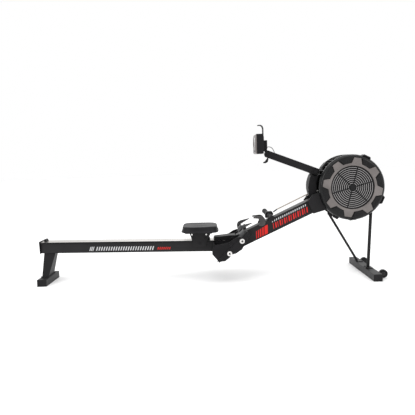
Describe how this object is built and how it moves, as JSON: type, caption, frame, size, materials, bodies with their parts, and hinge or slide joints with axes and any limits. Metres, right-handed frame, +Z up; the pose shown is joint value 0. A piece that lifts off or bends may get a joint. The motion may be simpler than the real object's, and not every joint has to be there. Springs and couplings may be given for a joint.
{
  "type": "rowing machine",
  "caption": "Air-braked rowing machine: tilted rail with sliding seat, footrests, inclined beam, caged flywheel with damper ring, chain handle and console on an arm.",
  "frame": {"origin": "on the floor under the middle of the machine", "axes": "+X from the rear foot towards the flywheel, +Y across, +Z up"},
  "size_m": [2.467, 0.61, 1.084],
  "materials": {
    "frame_black": "satin powder coat",
    "track_steel": "brushed",
    "black_plastic": "fine moulded grain",
    "gloss_shell": "gloss moulding",
    "silver_plastic": "silver lacquer",
    "hook_grey": "grey cast finish",
    "zinc": "zinc plated",
    "steel": "machined",
    "rubber": "matt",
    "seat_foam": "moulded foam skin",
    "webbing": "woven nylon webbing",
    "fan_aluminium": "black anodised",
    "chain_nickel": "nickel plated",
    "glass_screen": "display window",
    "button_grey": "soft touch",
    "cable_black": "flexible sheath",
    "tyre": "solid wheel"
  },
  "bodies": {
    "frame": {"monorail": "frame_black", "rail_track": "track_steel", "rail_stops": "black_plastic", "rear_leg": "frame_black", "rear_leg_foot": "frame_black", "rear_foot_bar": "frame_black", "foot_bar_caps": "rubber", "main_beam": "frame_black", "joint_block": "frame_black", "footrest_brackets": "frame_black", "footrest_bolts": "zinc", "foot_boards": "black_plastic", "foot_straps": "webbing", "strap_buckles": "black_plastic", "flywheel_bearings": "steel", "near_cover": "gloss_shell", "far_cover": "gloss_shell", "fan_cage": "black_plastic", "fan_grille": "gloss_shell", "frame_head": "frame_black", "chain_case": "black_plastic", "case_side_plate": "black_plastic", "drive_chain": "chain_nickel", "handle_hooks": "hook_grey", "chain_guide": "frame_black", "chain_return": "steel", "front_foot_bar": "frame_black", "front_struts": "frame_black", "front_foot_fittings": "frame_black"},
    "seat": {"seat_pad": "seat_foam", "seat_carriage": "frame_black", "seat_bolts": "zinc"},
    "rear_rollers": {"seat_rollers_rear": "black_plastic"},
    "front_rollers": {"seat_rollers_front": "black_plastic"},
    "lower_rollers": {"guide_rollers": "black_plastic"},
    "handle": {"handle_bar": "frame_black", "handle_grips": "rubber", "handle_centre": "black_plastic"},
    "guide_roller": {"chain_guide_roller": "steel"},
    "sprocket": {"drive_sprocket": "steel"},
    "flywheel": {"flywheel": "fan_aluminium", "fan_blades": "fan_aluminium"},
    "damper": {"damper_ring": "silver_plastic", "damper_pads": "gloss_shell"},
    "arm": {"console_arm": "frame_black", "arm_pivot_knobs": "black_plastic", "console_cable": "cable_black"},
    "console": {"console_case": "black_plastic", "console_bezel": "silver_plastic", "console_screen": "glass_screen", "console_bracket": "black_plastic"},
    "button_1": {"console_button_1": "button_grey"},
    "button_2": {"console_button_2": "button_grey"},
    "button_3": {"console_button_3": "button_grey"},
    "phone_clip": {"phone_holder": "black_plastic"},
    "lever": {"arm_lever": "black_plastic"},
    "heel_near": {"heel_rest_near": "black_plastic"},
    "heel_far": {"heel_rest_far": "black_plastic"},
    "wheel_near": {"transport_wheel_near": "tyre"},
    "wheel_far": {"transport_wheel_far": "tyre"}
  },
  "joints": [
    {"name": "seat_slide", "type": "slide", "parent": "frame", "child": "seat", "axis": [0.9998, 0, -0.0209], "range_m": [-0.95, 0]},
    {"name": "rear_roller_turn", "type": "hinge", "parent": "seat", "child": "rear_rollers", "pos_m": [-0.11509, 0, 0.29677], "axis": [0, 1, 0], "continuous": true},
    {"name": "front_roller_turn", "type": "hinge", "parent": "seat", "child": "front_rollers", "pos_m": [-0.03711, 0, 0.29514], "axis": [0, 1, 0], "continuous": true},
    {"name": "lower_roller_turn", "type": "hinge", "parent": "seat", "child": "lower_rollers", "pos_m": [-0.0759, 0, 0.25759], "axis": [0, 1, 0], "continuous": true},
    {"name": "handle_pull", "type": "slide", "parent": "frame", "child": "handle", "axis": [-0.9272, 0, 0.3746], "range_m": [0, 1.1], "stiffness_N_per_m": 12, "springref_m": -1.2, "deforming": ["drive_chain"]},
    {"name": "guide_roller_turn", "type": "hinge", "parent": "frame", "child": "guide_roller", "pos_m": [0.7145, 0, 0.563], "axis": [0, 1, 0], "continuous": true},
    {"name": "sprocket_turn", "type": "hinge", "parent": "frame", "child": "sprocket", "pos_m": [1.0035, 0, 0.624], "axis": [0, 1, 0], "continuous": true},
    {"name": "flywheel_spin", "type": "hinge", "parent": "frame", "child": "flywheel", "pos_m": [1.0035, 0, 0.624], "axis": [0, 1, 0], "continuous": true},
    {"name": "damper_turn", "type": "hinge", "parent": "frame", "child": "damper", "pos_m": [1.0035, 0, 0.624], "axis": [0, 1, 0], "range_deg": [0, 36]},
    {"name": "arm_raise", "type": "hinge", "parent": "frame", "child": "arm", "pos_m": [0.7685, 0, 0.742], "axis": [0, 1, 0], "range_deg": [-12, 20]},
    {"name": "console_tilt", "type": "hinge", "parent": "arm", "child": "console", "pos_m": [0.4296, 0, 0.87755], "axis": [0, 1, 0], "range_deg": [-12, 12], "deforming": ["console_cable"]},
    {"name": "button_1_press", "type": "slide", "parent": "console", "child": "button_1", "axis": [1, 0, 0], "range_m": [0, 0.0008], "stiffness_N_per_m": 400},
    {"name": "button_2_press", "type": "slide", "parent": "console", "child": "button_2", "axis": [1, 0, 0], "range_m": [0, 0.0008], "stiffness_N_per_m": 400},
    {"name": "button_3_press", "type": "slide", "parent": "console", "child": "button_3", "axis": [1, 0, 0], "range_m": [0, 0.0008], "stiffness_N_per_m": 400},
    {"name": "phone_clip_lift", "type": "slide", "parent": "console", "child": "phone_clip", "axis": [0, 0, 1], "range_m": [0, 0.05]},
    {"name": "lever_turn", "type": "hinge", "parent": "arm", "child": "lever", "pos_m": [0.43135, 0, 0.84422], "axis": [0, 1, 0], "range_deg": [0, 35]},
    {"name": "heel_near_adjust", "type": "slide", "parent": "frame", "child": "heel_near", "axis": [0.7314, 0, 0.682], "range_m": [-0.045, 0]},
    {"name": "heel_far_adjust", "type": "slide", "parent": "frame", "child": "heel_far", "axis": [0.7314, 0, 0.682], "range_m": [-0.045, 0]},
    {"name": "wheel_near_turn", "type": "hinge", "parent": "frame", "child": "wheel_near", "pos_m": [1.179, -0.216, 0.0326], "axis": [0, 1, 0], "continuous": true},
    {"name": "wheel_far_turn", "type": "hinge", "parent": "frame", "child": "wheel_far", "pos_m": [1.179, 0.216, 0.0326], "axis": [0, 1, 0], "continuous": true}
  ],
  "couplings": [
    {"joint": "rear_roller_turn", "follows": "seat_slide", "rad_per_m": 52.632},
    {"joint": "front_roller_turn", "follows": "seat_slide", "rad_per_m": 52.632},
    {"joint": "lower_roller_turn", "follows": "seat_slide", "rad_per_m": -100},
    {"joint": "guide_roller_turn", "follows": "handle_pull", "rad_per_m": -100},
    {"joint": "sprocket_turn", "follows": "handle_pull", "rad_per_m": -37.037}
  ]
}
